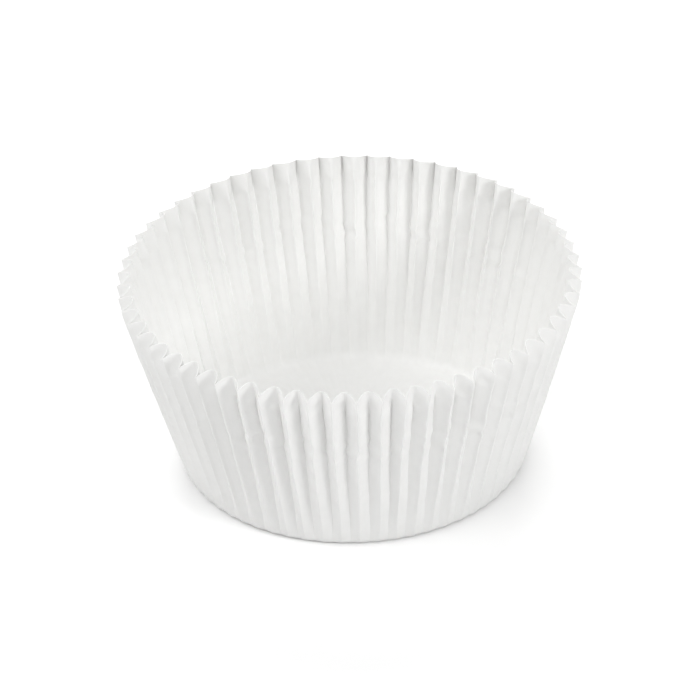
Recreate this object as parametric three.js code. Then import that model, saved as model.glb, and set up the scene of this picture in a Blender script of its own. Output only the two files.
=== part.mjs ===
// Fluted paper cup for one sweet or small cake, pressed from a single round sheet of paper.
// The sheet stays flat in the middle, turns up at a small rounded corner, and stands up all
// round as a wall of pleats. Paper doesn't stretch, so the depth of the pleats comes
// from how much more sheet there is at each height than the wall has room for.
// Millimetres, +Z up, origin on the table under the centre of the cup.

import * as THREE from "three";

// The sheet
const DISC_RADIUS = 57.15; // the round blank before it is pressed, 4 1/2 inches across
const PAPER_THICKNESS = 0.1;

// The cup that is pressed from it
const FLAT_RADIUS = 24.1; // flat part of the bottom
const CORNER_RADIUS = 1.6; // bend from the bottom to the wall
const FLARE = THREE.MathUtils.degToRad(14.6); // lean of the wall away from upright
const FLUTES = 60; // pleats round the wall
const FOLD_WIDTH = 0.3; // the narrow flat that each rounded fold makes

// The lip, where the press spreads each inner fold to a round arch and keeps the outer folds sharp
const LIP_LENGTH = 2.6;
const ARCH_WIDTH = 1.9; // rounded end of each inner fold, measured along the rim
const EDGE_WIDTH = 0.2; // end of each outer fold, pressed to a sharp edge

// Fineness of the mesh
const CORNER_STEPS = 2;
const WALL_STEPS = 3;
const LIP_STEPS = 1;

const PAPER_WHITE = 0xf4f4f2;

const WALL_LENGTH = DISC_RADIUS - FLAT_RADIUS; // sheet from the flat bottom to the rim
const CORNER_TURN = Math.PI / 2 - FLARE;
const CORNER_LENGTH = CORNER_RADIUS * CORNER_TURN;

// Middle line of the wall, with the pleats left out: place and direction at a distance
// along the sheet from the edge of the flat bottom.
function wallLine(along) {
  const turn = Math.min(along / CORNER_RADIUS, CORNER_TURN);
  const straight = Math.max(along - CORNER_LENGTH, 0);
  return {
    radius: FLAT_RADIUS + CORNER_RADIUS * Math.sin(turn) + straight * Math.cos(turn),
    height: PAPER_THICKNESS / 2 + CORNER_RADIUS * (1 - Math.cos(turn)) + straight * Math.sin(turn),
    turn,
  };
}

// Widths of the two folds: alike down the wall, then a sharp edge and a wide arch at the lip.
function foldWidths(along) {
  const lip = THREE.MathUtils.smoothstep(along, WALL_LENGTH - LIP_LENGTH, WALL_LENGTH);
  return {
    outer: THREE.MathUtils.lerp(FOLD_WIDTH, EDGE_WIDTH, lip),
    inner: THREE.MathUtils.lerp(FOLD_WIDTH, ARCH_WIDTH, lip),
  };
}

// One pleat of the sheet at a distance along it: how far the outer fold stands from the inner
// one, and where the four edges of the two folds lie across the pleat.
function pleat(along) {
  const { radius } = wallLine(along);
  const room = (2 * Math.PI * radius) / FLUTES;
  const sheet = (2 * Math.PI * (FLAT_RADIUS + along)) / FLUTES;
  const { outer, inner } = foldWidths(along);
  const folded = Math.min(1, room / (outer + inner) / 2); // narrower folds where there is no room
  const across = (room - (outer + inner) * folded) / 2;
  const leg = (sheet - (outer + inner) * folded) / 2;
  const depth = Math.sqrt(Math.max(leg * leg - across * across, 0));
  return {
    room,
    depth,
    edges: [
      { across: (-outer * folded) / 2, side: 1 },
      { across: (outer * folded) / 2, side: 1 },
      { across: (room - inner * folded) / 2, side: -1 },
      { across: (room + inner * folded) / 2, side: -1 },
    ],
  };
}

// Distances along the sheet at which the wall has a row of points.
function rowDistances() {
  const rows = [0];
  const lipStart = WALL_LENGTH - LIP_LENGTH;
  const stretches = [
    [0, CORNER_LENGTH, CORNER_STEPS],
    [CORNER_LENGTH, lipStart, WALL_STEPS],
    [lipStart, WALL_LENGTH, LIP_STEPS],
  ];
  for (const [from, to, steps] of stretches) {
    for (let step = 1; step <= steps; step += 1) {
      rows.push(from + ((to - from) * step) / steps);
    }
  }
  return rows;
}

// The pleated middle surface of the paper: one ring of points for each row.
function foldedRow(along) {
  const { radius, height, turn } = wallLine(along);
  const { room, depth, edges } = pleat(along);
  const ring = [];
  for (let flute = 0; flute < FLUTES; flute += 1) {
    for (const { across, side } of edges) {
      const reach = (side * depth) / 2;
      const angle = ((flute + across / room) * 2 * Math.PI) / FLUTES;
      const out = radius + reach * Math.sin(turn);
      const up = height - reach * Math.cos(turn);
      ring.push(new THREE.Vector3(out * Math.cos(angle), out * Math.sin(angle), up));
    }
  }
  return ring;
}

// From a point of the middle surface to the outer skin: half the paper's thickness, and a
// little more at a fold, so that the sheet keeps its thickness on both sides of it.
function toOuterSkin(rows, row, column) {
  if (row === 0) {
    return new THREE.Vector3(0, 0, -PAPER_THICKNESS / 2);
  }
  const ring = rows[row];
  const point = ring[column];
  const above = rows[Math.min(row + 1, rows.length - 1)][column];
  const below = rows[row - 1][column];
  const up = above.clone().sub(below);
  const before = point.clone().sub(ring[(column + ring.length - 1) % ring.length]);
  const after = ring[(column + 1) % ring.length].clone().sub(point);
  const normalBefore = before.cross(up).normalize();
  const normalAfter = after.cross(up).normalize();
  const normal = normalBefore.clone().add(normalAfter).normalize();
  const mitre = 1 / Math.max(normal.dot(normalBefore), 0.5);
  return normal.multiplyScalar((PAPER_THICKNESS / 2) * mitre);
}

// The closed solid: an outer skin, an inner skin and the cut edge of the paper at the rim.
function pleatedSheet() {
  const rows = rowDistances().map(foldedRow);
  const columns = rows[0].length;
  const skinSize = rows.length * columns + 1;
  const positions = [];
  for (const side of [1, -1]) {
    rows.forEach((ring, row) => {
      ring.forEach((point, column) => {
        const offset = toOuterSkin(rows, row, column).multiplyScalar(side);
        positions.push(...point.clone().add(offset).toArray());
      });
    });
    positions.push(0, 0, ((1 - side) * PAPER_THICKNESS) / 2);
  }

  const outer = (row, column) => row * columns + (column % columns);
  const inner = (row, column) => skinSize + outer(row, column);
  const faces = [];
  const quad = (a, b, c, d) => faces.push(a, b, c, a, c, d);
  for (let column = 0; column < columns; column += 1) {
    const next = column + 1;
    faces.push(skinSize - 1, outer(0, next), outer(0, column));
    faces.push(2 * skinSize - 1, inner(0, column), inner(0, next));
    for (let row = 0; row < rows.length - 1; row += 1) {
      quad(outer(row, column), outer(row, next), outer(row + 1, next), outer(row + 1, column));
      quad(inner(row, column), inner(row + 1, column), inner(row + 1, next), inner(row, next));
    }
    const rim = rows.length - 1;
    quad(outer(rim, column), outer(rim, next), inner(rim, next), inner(rim, column));
  }

  const geometry = new THREE.BufferGeometry();
  geometry.setAttribute("position", new THREE.Float32BufferAttribute(positions, 3));
  geometry.setIndex(faces);
  geometry.computeVertexNormals();
  return geometry;
}

function pleatedCup() {
  const paper = new THREE.MeshStandardMaterial({
    color: PAPER_WHITE,
    roughness: 0.85,
    metalness: 0,
  });
  const cup = new THREE.Mesh(pleatedSheet(), paper);
  cup.name = "pleated_cup";
  return cup;
}

const paperCup = new THREE.Group();
paperCup.add(pleatedCup());

export default paperCup;
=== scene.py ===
# %% [markdown]
# # A fluted paper cup
#
# The object is a small white paper cup of the kind that holds one sweet or one small cake.
# A machine presses it from a single round of greaseproof paper: the middle stays flat, and
# the rest is pushed up into a wall of narrow pleats. Nothing is cut or glued.
#
# We build it the same way. First comes a flat round sheet with many rings of points, and
# then a small calculation folds that sheet, ring by ring, and hardly stretches it. Paper is
# the teacher here: once the folds are the right width, the depth of the pleats follows
# from the length of paper in each ring, and the shape looks like paper by itself.
#
# The cell below loads the plain model of the cup, which gives the place and the size.

# %% Load the frame
import math
import random
import bpy
import numpy as np
from mathutils import Matrix, Vector


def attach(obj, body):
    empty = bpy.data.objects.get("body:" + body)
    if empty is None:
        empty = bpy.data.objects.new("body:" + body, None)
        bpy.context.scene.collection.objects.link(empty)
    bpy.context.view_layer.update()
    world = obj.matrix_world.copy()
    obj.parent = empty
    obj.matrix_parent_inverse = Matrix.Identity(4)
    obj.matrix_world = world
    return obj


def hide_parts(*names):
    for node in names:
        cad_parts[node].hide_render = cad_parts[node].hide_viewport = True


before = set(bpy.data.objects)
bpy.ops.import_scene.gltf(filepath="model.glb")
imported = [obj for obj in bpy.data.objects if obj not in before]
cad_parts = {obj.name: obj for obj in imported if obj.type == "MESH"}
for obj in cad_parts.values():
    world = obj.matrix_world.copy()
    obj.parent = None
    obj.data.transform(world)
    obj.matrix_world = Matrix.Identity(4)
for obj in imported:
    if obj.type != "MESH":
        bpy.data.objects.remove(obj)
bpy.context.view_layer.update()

MM = 0.001

# %% [markdown]
# ## The view
#
# The cup was photographed with a long lens from well above the table, so its sides hardly
# narrow with distance. A camera more than a metre away with a long focal length gives the
# same calm view. It looks down 33 degrees, and leans less than two degrees to one side,
# which lifts the right end of the rim a little, as in the picture.

# %% Camera
LOOK_DOWN = math.radians(32.8)
CAMERA_LEAN = math.radians(-1.8)
CAMERA_DISTANCE = 1.2
PIXELS_PER_MM = 6.756
PICTURE_SIDE = 700
LOOK_AT = Vector((-0.25, 0.0, 17.75)) * MM

camera_data = bpy.data.cameras.new("camera")
camera = bpy.data.objects.new("camera", camera_data)
bpy.context.scene.collection.objects.link(camera)
camera_data.sensor_width = 36.0
camera_data.lens = (
    PIXELS_PER_MM / MM * CAMERA_DISTANCE / PICTURE_SIDE * camera_data.sensor_width
)
camera_data.clip_end = 20.0

forward = Vector((0.0, math.cos(LOOK_DOWN), -math.sin(LOOK_DOWN)))
level_right = Vector((1.0, 0.0, 0.0))
level_up = level_right.cross(forward)
right = level_right * math.cos(CAMERA_LEAN) + level_up * math.sin(CAMERA_LEAN)
up = level_up * math.cos(CAMERA_LEAN) - level_right * math.sin(CAMERA_LEAN)
camera.matrix_world = Matrix.Translation(LOOK_AT - forward * CAMERA_DISTANCE) @ (
    Matrix((right, up, -forward)).transposed().to_4x4()
)
bpy.context.scene.camera = camera
print("lens", round(camera_data.lens), "mm at", CAMERA_DISTANCE, "m")

# %% [markdown]
# ## The floor and the light
#
# White paper on a white floor needs care: if the floor is lit until it is pure white, the
# cup burns out with it. So the floor is an ordinary white one for the light that bounces
# up onto the cup, and only the camera sees it a little brighter, just at pure white. Where
# the cup takes some of the light away, the soft shadow under it shows at once.

# %% Floor
FLOOR_SIDE = 6.0
FLOOR_WHITE = (0.8, 0.8, 0.8, 1.0)
FLOOR_SEEN = (1.0, 1.0, 1.0, 1.0)
FLOOR_GLOW = 0.04

bpy.ops.object.select_all(action="DESELECT")
bpy.ops.mesh.primitive_plane_add(size=FLOOR_SIDE, location=(0.0, 0.0, 0.0))
floor = bpy.context.object
floor.name = "floor"

floor_paint = bpy.data.materials.new("white floor")
floor_paint.use_nodes = True
nodes, links = floor_paint.node_tree.nodes, floor_paint.node_tree.links
nodes.clear()
floor_out = nodes.new("ShaderNodeOutputMaterial")
floor_plain = nodes.new("ShaderNodeBsdfDiffuse")
floor_plain.inputs["Color"].default_value = FLOOR_WHITE
floor_bright = nodes.new("ShaderNodeBsdfDiffuse")
floor_bright.inputs["Color"].default_value = FLOOR_SEEN
floor_lift = nodes.new("ShaderNodeEmission")
floor_lift.inputs["Strength"].default_value = FLOOR_GLOW
floor_sum = nodes.new("ShaderNodeAddShader")
floor_path = nodes.new("ShaderNodeLightPath")
floor_mix = nodes.new("ShaderNodeMixShader")
links.new(floor_bright.outputs[0], floor_sum.inputs[0])
links.new(floor_lift.outputs[0], floor_sum.inputs[1])
links.new(floor_path.outputs["Is Camera Ray"], floor_mix.inputs[0])
links.new(floor_plain.outputs[0], floor_mix.inputs[1])
links.new(floor_sum.outputs[0], floor_mix.inputs[2])
links.new(floor_mix.outputs[0], floor_out.inputs["Surface"])
floor.data.materials.append(floor_paint)
print("floor", FLOOR_SIDE, "m square")

# %% [markdown]
# The light is that of a packshot table: an even white surround, large soft lamps behind,
# above and on the left, and one small lamp low on the right. The small lamp draws the
# picture. It reaches the bottoms of the pleats only where they open towards it, so the
# pleats on the right are evenly light, and those on the left of the front fill with shadow.

# %% Lamps
SURROUND_LEVEL = 0.36
LAMP_DISTANCE = 1.4
# turn from the camera's side towards the right, height above the table, side in m, level
LAMPS = {
    "right softbox": (50.0, 25.0, 0.4, 0.30),
    "left softbox": (-62.0, 25.0, 0.9, 0.18),
    "high left softbox": (-75.0, 50.0, 0.9, 0.17),
    "back softbox": (180.0, 35.0, 0.9, 0.54),
    "high front softbox": (0.0, 60.0, 0.9, 0.22),
    "top softbox": (180.0, 88.0, 0.9, 0.07),
}

world = bpy.data.worlds.new("white surround")
bpy.context.scene.world = world
world.use_nodes = True
nodes, links = world.node_tree.nodes, world.node_tree.links
surround = nodes["Background"]
surround.inputs["Color"].default_value = (1.0, 1.0, 1.0, 1.0)
surround.inputs["Strength"].default_value = SURROUND_LEVEL
seen_white = nodes.new("ShaderNodeBackground")
seen_white.inputs["Color"].default_value = (1.0, 1.0, 1.0, 1.0)
seen_white.inputs["Strength"].default_value = 1.0
world_path = nodes.new("ShaderNodeLightPath")
world_mix = nodes.new("ShaderNodeMixShader")
links.new(world_path.outputs["Is Camera Ray"], world_mix.inputs[0])
links.new(surround.outputs[0], world_mix.inputs[1])
links.new(seen_white.outputs[0], world_mix.inputs[2])
links.new(world_mix.outputs[0], nodes["World Output"].inputs["Surface"])

for lamp_name, (turned, raised, side, level) in LAMPS.items():
    turned = math.radians(turned)
    raised = math.radians(raised)
    place = LOOK_AT + LAMP_DISTANCE * Vector((
        math.sin(turned) * math.cos(raised),
        -math.cos(turned) * math.cos(raised),
        math.sin(raised),
    ))
    lamp_data = bpy.data.lights.new(lamp_name, "AREA")
    lamp_data.shape = "SQUARE"
    lamp_data.size = side
    # the power at which a white surface that faces the lamp looks as bright as the level says
    lamp_data.energy = level * (math.pi * LAMP_DISTANCE) ** 2
    lamp = bpy.data.objects.new(lamp_name, lamp_data)
    lamp.location = place
    lamp.rotation_euler = (LOOK_AT - place).to_track_quat("-Z", "Y").to_euler()
    bpy.context.scene.collection.objects.link(lamp)
bpy.context.scene.view_settings.view_transform = "Standard"
print("lamps", ", ".join(LAMPS))

# %% [markdown]
# ## The sheet
#
# Here are the sizes of the cup in millimetres: the round blank, the flat part of the
# bottom, the small bend at its edge and the lean of the wall. They are the same ones that
# the plain model is built from. Only the paper is thinner, more like the real one.

# %% Sizes of the cup
DISC_RADIUS = 57.15
FLAT_RADIUS = 24.1
CORNER_RADIUS = 1.6
FLARE = math.radians(14.6)
FLUTES = 60
PAPER = 0.07

WALL_LENGTH = DISC_RADIUS - FLAT_RADIUS
CORNER_TURN = math.pi / 2 - FLARE
CORNER_LENGTH = CORNER_RADIUS * CORNER_TURN
print(f"wall {WALL_LENGTH:.2f} mm long, corner {CORNER_LENGTH:.2f} mm")

# %% [markdown]
# The blank is made as by hand: a circle for the edge of the flat bottom, whose edge is
# extruded and scaled outwards again and again to the rim, and inwards to the middle. A
# mesh can only bend where it has points, so the rings stand close together at the corner,
# in the crinkled band above the middle of the wall, and at the lip. For the same reason
# the points of one pleat will later be gathered at its two folds. The first ring inside
# the edge stands close to it, so that the bottom stays flat right up to the bend.

# %% Rings and columns of the sheet
LIP_LENGTH = 4.6
CRINKLE_BAND = (18.8, 24.3)
# end of each stretch along the wall, and how many rings it has
STRETCHES = (
    (CORNER_LENGTH, 5),
    (CRINKLE_BAND[0], 11),
    (CRINKLE_BAND[1], 11),
    (WALL_LENGTH - LIP_LENGTH, 3),
)
# rings of the lip, by their distance below the rim
LIP_RINGS = (3.9, 3.5, 3.2, 2.7, 2.1, 1.5, 1.0, 0.5, 0.0)
BOTTOM_RADII = (23.3, 16.0, 8.0)  # rings of the flat bottom
# points of half a pleat, from the outer fold (0) to the inner fold (1)
HALF_PLEAT = (0.0, 0.035, 0.085, 0.19, 0.36, 0.6, 0.8, 0.91, 0.965)


def ring_distances():
    """How far each ring lies from the flat bottom, measured along the sheet."""
    distances = []
    start = 0.0
    for end, count in STRETCHES:
        distances += [start + (end - start) * (k + 1) / count for k in range(count)]
        start = end
    return distances + [WALL_LENGTH - below for below in LIP_RINGS]


def pleat_columns():
    """Shares of the paper of one pleat at which its points stand."""
    first = [0.5 * place for place in HALF_PLEAT]
    second = [1.0 - 0.5 * place for place in reversed(HALF_PLEAT[1:])]
    return np.array(first + [0.5] + second)


RINGS = np.array([0.0] + ring_distances())
COLUMNS = pleat_columns()
print(len(RINGS), "rings of", FLUTES * len(COLUMNS), "points")

# %% Flat blank


def select_edge_loop(made, radius):
    """Select the ring of edges at one distance from the middle."""
    for vertex in made.data.vertices:
        vertex.select = abs(vertex.co.xy.length - radius * MM) < 1e-6
    for edge in made.data.edges:
        edge.select = all(made.data.vertices[v].select for v in edge.vertices)


def round_sheet():
    """A flat round sheet with a ring of points at each ring distance."""
    bpy.ops.object.select_all(action="DESELECT")
    bpy.ops.mesh.primitive_circle_add(
        vertices=FLUTES * len(COLUMNS), radius=FLAT_RADIUS * MM, location=(0, 0, 0)
    )
    made = bpy.context.object
    bpy.ops.object.mode_set(mode="EDIT")
    bpy.ops.mesh.select_all(action="SELECT")
    for inside, outside in zip(RINGS[:-1], RINGS[1:]):
        grow = (FLAT_RADIUS + outside) / (FLAT_RADIUS + inside)
        bpy.ops.mesh.extrude_edges_move()
        bpy.ops.transform.resize(value=(grow, grow, 1.0), center_override=(0, 0, 0))
    bpy.ops.object.mode_set(mode="OBJECT")
    select_edge_loop(made, FLAT_RADIUS)
    bpy.ops.object.mode_set(mode="EDIT")
    bpy.ops.mesh.select_mode(type="EDGE")
    for outside, inside in zip((FLAT_RADIUS,) + BOTTOM_RADII, BOTTOM_RADII):
        shrink = inside / outside
        bpy.ops.mesh.extrude_edges_move()
        bpy.ops.transform.resize(value=(shrink, shrink, 1.0), center_override=(0, 0, 0))
    bpy.ops.mesh.extrude_edges_move()
    bpy.ops.mesh.merge(type="CENTER")
    bpy.ops.object.mode_set(mode="OBJECT")
    return made


cup = round_sheet()
cup.name = "fluted_cup"
print("flat sheet", len(cup.data.vertices), "points")

# %% [markdown]
# ## Folding one pleat
#
# Look at a ring of the sheet from above. Between one outer fold and the next it has more
# paper than the wall has room for, so it must swing in and out. We describe that swing by
# the direction in which the paper runs: straight along the wall at the middle of a fold,
# and turned by the same angle all along each flat side. The turning angle is the only
# unknown, and it is found by halving: too small an angle leaves the pleat too wide, too
# large an angle leaves it too narrow.
#
# A wide fold is round, a narrow one is sharp. A fold can also be pinched: next to it the
# sides stand steeper than elsewhere, so that they lie close together and leave a slit.

# %% Section of a pleat
SAMPLES = 480
OUTER_SPAN = 0.13  # shares of the pleat's paper over which a pinch fades
INNER_SPAN = 0.12
STEEPEST = math.radians(86.0)
LARGEST_TURN = math.pi * 0.62  # where the search for the turning angle starts
HALVINGS = 40


def swing(share, fold):
    """Direction of the paper across a pleat, from outer fold to outer fold."""
    half = np.minimum(share, 1.0 - share)
    leave_outer = np.sin(np.pi / 2 * np.clip(half / fold["outer"], 0.0, 1.0))
    reach_inner = np.sin(np.pi / 2 * np.clip((0.5 - half) / fold["inner"], 0.0, 1.0))
    pinch = 1.0 + fold["outer_pinch"] * np.exp(-((half / OUTER_SPAN) ** 2))
    pinch = pinch + fold["inner_pinch"] * np.exp(-(((0.5 - half) / INNER_SPAN) ** 2))
    return np.where(share < 0.5, 1.0, -1.0) * leave_outer * reach_inner * pinch


def fold_section(paper_length, room, fold):
    """Points of one pleat: across it, from 0 to room, and inwards from its outer fold."""
    share = (np.arange(SAMPLES) + 0.5) / SAMPLES
    run = swing(share, fold)
    low, high = 0.0, LARGEST_TURN
    for _ in range(HALVINGS):
        angle = (low + high) / 2
        slope = np.clip(angle * run, -STEEPEST, STEEPEST)
        if np.cos(slope).mean() * paper_length > room:
            low = angle
        else:
            high = angle
    step = paper_length / SAMPLES
    across = np.concatenate(([0.0], np.cumsum(np.cos(slope)) * step))
    inward = np.concatenate(([0.0], np.cumsum(np.sin(slope)) * step))
    across *= room / across[-1]
    return across, inward


# %% [markdown]
# Down the wall both folds are narrow and pinched, so that each one shows as a dark slit:
# the outer folds from inside the cup, and the inner folds from outside. The lip is
# different, because the tool that presses the cup spreads the paper there. About three
# millimetres below the rim the hollow outside each inner fold opens like a funnel: its
# sides stand apart, but still meet in a crease. Nearer to the rim the crease fades, and
# the inner fold ends in a round arch between sharp outer folds. The lists below give the
# form of the folds at a few distances below the rim, and `np.interp` fills in between them.

# %% Form of the folds
BELOW_RIM = (0.0, 0.6, 1.2, 2.7, 3.7, 7.0, 14.0, 24.0)
OUTER_FOLD = (0.02, 0.02, 0.02, 0.03, 0.035, 0.04, 0.045, 0.06)
INNER_FOLD = (0.28, 0.16, 0.04, 0.02, 0.025, 0.03, 0.03, 0.05)
OUTER_PINCH = (0.40, 0.45, 0.50, 0.60, 0.65, 0.75, 0.95, 1.10)
INNER_PINCH = (0.0, -0.10, -0.30, -0.25, 0.75, 0.75, 0.55, 0.40)


def fold_at(along):
    """Half widths of the folds, as shares of the paper of a pleat, and how they are pinched."""
    below = WALL_LENGTH - along
    return {
        "outer": np.interp(below, BELOW_RIM, OUTER_FOLD),
        "inner": np.interp(below, BELOW_RIM, INNER_FOLD),
        "outer_pinch": np.interp(below, BELOW_RIM, OUTER_PINCH),
        "inner_pinch": np.interp(below, BELOW_RIM, INNER_PINCH),
    }


def wall_line(along):
    """Radius, height and lean of the wall's middle line at distances along the sheet."""
    turn = np.minimum(along / CORNER_RADIUS, CORNER_TURN)
    straight = np.maximum(along - CORNER_LENGTH, 0.0)
    radius = FLAT_RADIUS + CORNER_RADIUS * np.sin(turn) + straight * np.cos(turn)
    height = CORNER_RADIUS * (1.0 - np.cos(turn)) + straight * np.sin(turn)
    return radius, height, turn


def room_and_paper(along):
    """Width that the wall has for one pleat, and length of paper that goes into it."""
    radius, _, _ = wall_line(along)
    return 2 * math.pi * radius / FLUTES, 2 * math.pi * (FLAT_RADIUS + along) / FLUTES


for along in (2.0, 10.0, 20.0, 30.0, WALL_LENGTH):
    room, paper_length = room_and_paper(along)
    _, inward = fold_section(paper_length, room, fold_at(along))
    print(f"{along:.1f} mm along, a pleat is {room:.2f} mm wide and {inward.max():.2f} mm deep")

# %% [markdown]
# ## Unevenness
#
# No press is perfect. Each fold line wanders a little to the left and right on its way up,
# some pleats are deeper than others, and small kinks run through all the folds in one band
# above the middle of the wall. The lower edge of the lip also lies higher on one pleat and
# lower on the next. All of this comes from smooth random waves with a fixed seed, so the
# cup is the same each time.

# %% Random waves
SEED = 7
FOLD_LINES = 2 * FLUTES  # line 2k is the outer fold of pleat k, line 2k + 1 its inner fold
WAVE_STEP = 0.1  # mm along the wall between the stored values of a wave
WAVE_VALUES = int(WALL_LENGTH / WAVE_STEP) + 2

rng = random.Random(SEED)


def smooth_wave(spacing):
    """A smooth random wave up the wall, with a new random value every so many mm."""
    place = np.arange(WAVE_VALUES) * WAVE_STEP / spacing
    left = np.floor(place).astype(int)
    values = np.array([rng.uniform(-1.0, 1.0) for _ in range(left[-1] + 2)])
    part = place - left
    soft = part * part * (3.0 - 2.0 * part)
    return values[left] * (1.0 - soft) + values[left + 1] * soft


def one_each(amount):
    """One random value for each fold line."""
    return np.array([rng.uniform(-1.0, 1.0) for _ in range(FOLD_LINES)]) * amount


def waves_each(spacing, amount):
    """One smooth wave for each fold line."""
    return np.array([smooth_wave(spacing) for _ in range(FOLD_LINES)]) * amount


PLACE_ERROR = 0.11  # mm to the left or right
DEPTH_ERROR = 0.06  # share of the depth of a pleat
LIP_SLIDE = 0.65  # mm up or down
# waves: how far they reach, in mm or for dents as a share of the depth, and their spacing in mm
WANDER, WANDER_SPACING = 0.07, 2.8
SLOW_WANDER, SLOW_SPACING = 0.10, 9.0
DENT, DENT_SPACING = 0.05, 2.2
KINK, KINK_SPACING = 0.24, 1.15
SHARED_KINK, OWN_KINK = 0.5, 0.7  # parts of a kink that all folds share, and that each has

place_error = one_each(PLACE_ERROR)
depth_error = one_each(DEPTH_ERROR)
lip_slide = one_each(LIP_SLIDE)
wander = waves_each(WANDER_SPACING, WANDER)
slow_wander = waves_each(SLOW_SPACING, SLOW_WANDER)
dents = waves_each(DENT_SPACING, DENT)
shared_kink = smooth_wave(KINK_SPACING)
kinks = (SHARED_KINK * shared_kink + waves_each(KINK_SPACING, OWN_KINK)) * KINK
print("waves for", FOLD_LINES, "fold lines")

# %% [markdown]
# ## Folding the whole sheet
#
# Now every point of the flat sheet finds its place in the cup. Its distance from the
# middle says how far up the wall it is, and its direction says which pleat it is in and
# where. At the rim the outer folds lean in and droop a little. The whole pattern is turned
# by less than a degree, which puts the pleats where the picture has them.

# %% Fold the sheet
PATTERN_TURN = math.radians(0.8)
LIP_HOOD = 0.20  # outer folds lean inwards at the rim, mm
LIP_DROOP = 0.35  # and stand a little lower than the inner ones, mm
LIP_FADE = 3.0  # both fade out over this length below the rim, mm
KINK_CENTRE = 21.5  # middle of the crinkled band, mm along the sheet
KINK_SPAN = 2.3
SLIDE_GROWS = (9.0, 3.8)  # distances below the rim between which the slide sets in
SLIDE_FADES = (2.7, 0.0)  # and between which it goes again


def soft_step(value, low, high):
    """Rise softly from 0 at the low value to 1 at the high one."""
    share = np.clip((value - low) / (high - low), 0.0, 1.0)
    return share * share * (3.0 - 2.0 * share)


def between(line_values, before, mix):
    """Value between two neighbouring fold lines."""
    return line_values[before] * (1.0 - mix) + line_values[(before + 1) % FOLD_LINES] * mix


def fold_ring(along, flute, share):
    """Places in the cup of points of one ring of the sheet."""
    room, paper_length = room_and_paper(along)
    across, inward = fold_section(paper_length, room, fold_at(along))
    sample_share = np.linspace(0.0, 1.0, SAMPLES + 1)
    x = np.interp(share, sample_share, across)
    y = np.interp(share, sample_share, inward)
    depth = inward.max()
    towards_outer = 1.0 - y / depth

    before = 2 * flute + (share >= 0.5)
    mix = share * 2 % 1.0
    sample = int(along / WAVE_STEP)
    grown = soft_step(along, 0.0, CORNER_LENGTH * 2)
    band = math.exp(-(((along - KINK_CENTRE) / KINK_SPAN) ** 4))
    sideways = place_error + wander[:, sample] + slow_wander[:, sample]
    sideways = (sideways + kinks[:, sample] * band) * grown
    deeper = depth_error + dents[:, sample]
    slide_here = soft_step(along, WALL_LENGTH - SLIDE_GROWS[0], WALL_LENGTH - SLIDE_GROWS[1])
    fades_here = soft_step(along, WALL_LENGTH - SLIDE_FADES[0], WALL_LENGTH - SLIDE_FADES[1])
    slide_here = slide_here * (1.0 - fades_here)

    moved = along + between(lip_slide, before, mix) * slide_here
    radius, height, turn = wall_line(moved)
    outward = (depth / 2 - y) * (1.0 + between(deeper, before, mix))
    lip = soft_step(along, WALL_LENGTH - LIP_FADE, WALL_LENGTH) * towards_outer
    angle = (flute + (x + between(sideways, before, mix)) / room) * 2 * math.pi / FLUTES
    angle = angle + PATTERN_TURN
    out = radius + outward * np.sin(turn) - LIP_HOOD * lip
    up = PAPER / 2 + height - outward * np.cos(turn) - LIP_DROOP * lip
    return np.stack((out * np.cos(angle), out * np.sin(angle), up), axis=1)


def fold_sheet(sheet):
    """Move every point of the flat sheet to its place in the cup."""
    flat = np.empty(len(sheet.data.vertices) * 3)
    sheet.data.vertices.foreach_get("co", flat)
    flat = flat.reshape(-1, 3) / MM
    reach = np.hypot(flat[:, 0], flat[:, 1]) - FLAT_RADIUS
    turned = np.arctan2(flat[:, 1], flat[:, 0]) / (2 * np.pi)
    point = np.round(turned * FLUTES * len(COLUMNS)).astype(int) % (FLUTES * len(COLUMNS))
    flute, column = point // len(COLUMNS), point % len(COLUMNS)
    folded = flat.copy()
    folded[:, 2] = PAPER / 2
    for along in RINGS[1:]:
        here = np.abs(reach - along) < 1e-3
        folded[here] = fold_ring(along, flute[here], COLUMNS[column[here]])
    # the bottom and the first ring share the even spacing of the pleat's points
    inside = reach < 1e-3
    angle = (flute + COLUMNS[column]) * 2 * np.pi / FLUTES + PATTERN_TURN
    radius = reach + FLAT_RADIUS
    folded[inside, 0] = (radius * np.cos(angle))[inside]
    folded[inside, 1] = (radius * np.sin(angle))[inside]
    sheet.data.vertices.foreach_set("co", (folded * MM).ravel())
    sheet.data.update()


fold_sheet(cup)
print("folded cup is", [round(side / MM, 1) for side in cup.dimensions], "mm")

# %% [markdown]
# The folded sheet has no thickness yet. Its faces are first turned to point the same way,
# and a Solidify modifier then gives the paper its thickness, half to each side. It also
# closes the cut edge at the rim.

# %% Thickness of the paper
SMOOTH_ANGLE = math.radians(60.0)

bpy.ops.object.select_all(action="DESELECT")
cup.select_set(True)
bpy.context.view_layer.objects.active = cup
bpy.ops.object.mode_set(mode="EDIT")
bpy.ops.mesh.select_all(action="SELECT")
bpy.ops.mesh.normals_make_consistent(inside=False)
bpy.ops.object.mode_set(mode="OBJECT")
thickness = cup.modifiers.new("paper thickness", "SOLIDIFY")
thickness.thickness = PAPER * MM
thickness.offset = 0.0
thickness.use_even_offset = True
thickness.thickness_clamp = 1.0
bpy.ops.object.modifier_apply(modifier=thickness.name)
bpy.ops.object.shade_smooth_by_angle(angle=SMOOTH_ANGLE)
triangles = sum(len(face.vertices) - 2 for face in cup.data.polygons)
print("cup", triangles, "triangles")

# %% [markdown]
# ## The paper
#
# Greaseproof paper is almost white and quite dull. Close up it is not even: the fibres lie
# in faint clouds, and the surface has a fine tooth. Both come from noise on the object's
# own coordinates, so nothing has to be unwrapped. The clouds change the colour by a hundredth
# or two, and the tooth only tilts the surface a little through a Bump node.

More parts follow.
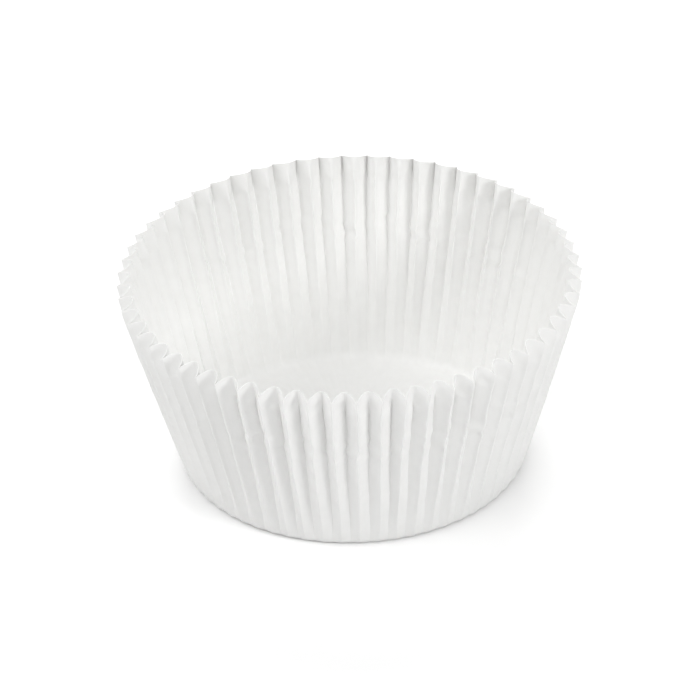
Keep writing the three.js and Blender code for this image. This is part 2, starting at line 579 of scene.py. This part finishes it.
# %% Paper
PAPER_WHITE = (0.91, 0.91, 0.90, 1.0)
PAPER_CLOUD = (0.895, 0.894, 0.883, 1.0)
CLOUD_SIZE = 1.6 * MM
TOOTH_SIZE = 0.12 * MM
FIBRE_SIZE = 0.5 * MM
TOOTH_HEIGHT = 0.008 * MM
CLOUD_EDGES = (0.35, 0.65)  # noise values between which the colour changes
ROUGHNESS = (0.72, 0.86)

paper = bpy.data.materials.new("white greaseproof paper")
paper.use_nodes = True
nodes, links = paper.node_tree.nodes, paper.node_tree.links
sheet_shader = nodes["Principled BSDF"]
sheet_shader.inputs["Specular IOR Level"].default_value = 0.3

spot = nodes.new("ShaderNodeTexCoord")


def paper_noise(size, detail, roughness):
    """Noise on the object's own coordinates with features of about one size."""
    noise = nodes.new("ShaderNodeTexNoise")
    noise.inputs["Scale"].default_value = 1.0 / size
    noise.inputs["Detail"].default_value = detail
    noise.inputs["Roughness"].default_value = roughness
    links.new(spot.outputs["Object"], noise.inputs["Vector"])
    return noise.outputs["Fac"]


clouds = paper_noise(CLOUD_SIZE, 4.0, 0.6)
cloud_colour = nodes.new("ShaderNodeMix")
cloud_colour.data_type = "RGBA"
cloud_colour.inputs["A"].default_value = PAPER_CLOUD
cloud_colour.inputs["B"].default_value = PAPER_WHITE
cloud_steps = nodes.new("ShaderNodeMapRange")
cloud_steps.inputs["From Min"].default_value = CLOUD_EDGES[0]
cloud_steps.inputs["From Max"].default_value = CLOUD_EDGES[1]
links.new(clouds, cloud_steps.inputs["Value"])
links.new(cloud_steps.outputs["Result"], cloud_colour.inputs["Factor"])
links.new(cloud_colour.outputs["Result"], sheet_shader.inputs["Base Color"])

cloud_shine = nodes.new("ShaderNodeMapRange")
cloud_shine.inputs["To Min"].default_value = ROUGHNESS[0]
cloud_shine.inputs["To Max"].default_value = ROUGHNESS[1]
links.new(clouds, cloud_shine.inputs["Value"])
links.new(cloud_shine.outputs["Result"], sheet_shader.inputs["Roughness"])

tooth = nodes.new("ShaderNodeMath")
tooth.operation = "ADD"
links.new(paper_noise(TOOTH_SIZE, 3.0, 0.6), tooth.inputs[0])
links.new(paper_noise(FIBRE_SIZE, 2.0, 0.5), tooth.inputs[1])
tooth_bump = nodes.new("ShaderNodeBump")
tooth_bump.inputs["Strength"].default_value = 0.5
tooth_bump.inputs["Distance"].default_value = TOOTH_HEIGHT
links.new(tooth.outputs[0], tooth_bump.inputs["Height"])
links.new(tooth_bump.outputs["Normal"], sheet_shader.inputs["Normal"])

cup.data.materials.clear()
cup.data.materials.append(paper)
print("paper has", len(nodes), "nodes")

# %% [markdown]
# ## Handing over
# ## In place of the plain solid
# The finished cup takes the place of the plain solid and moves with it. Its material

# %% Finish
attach(cup, "root")
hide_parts("pleated_cup")
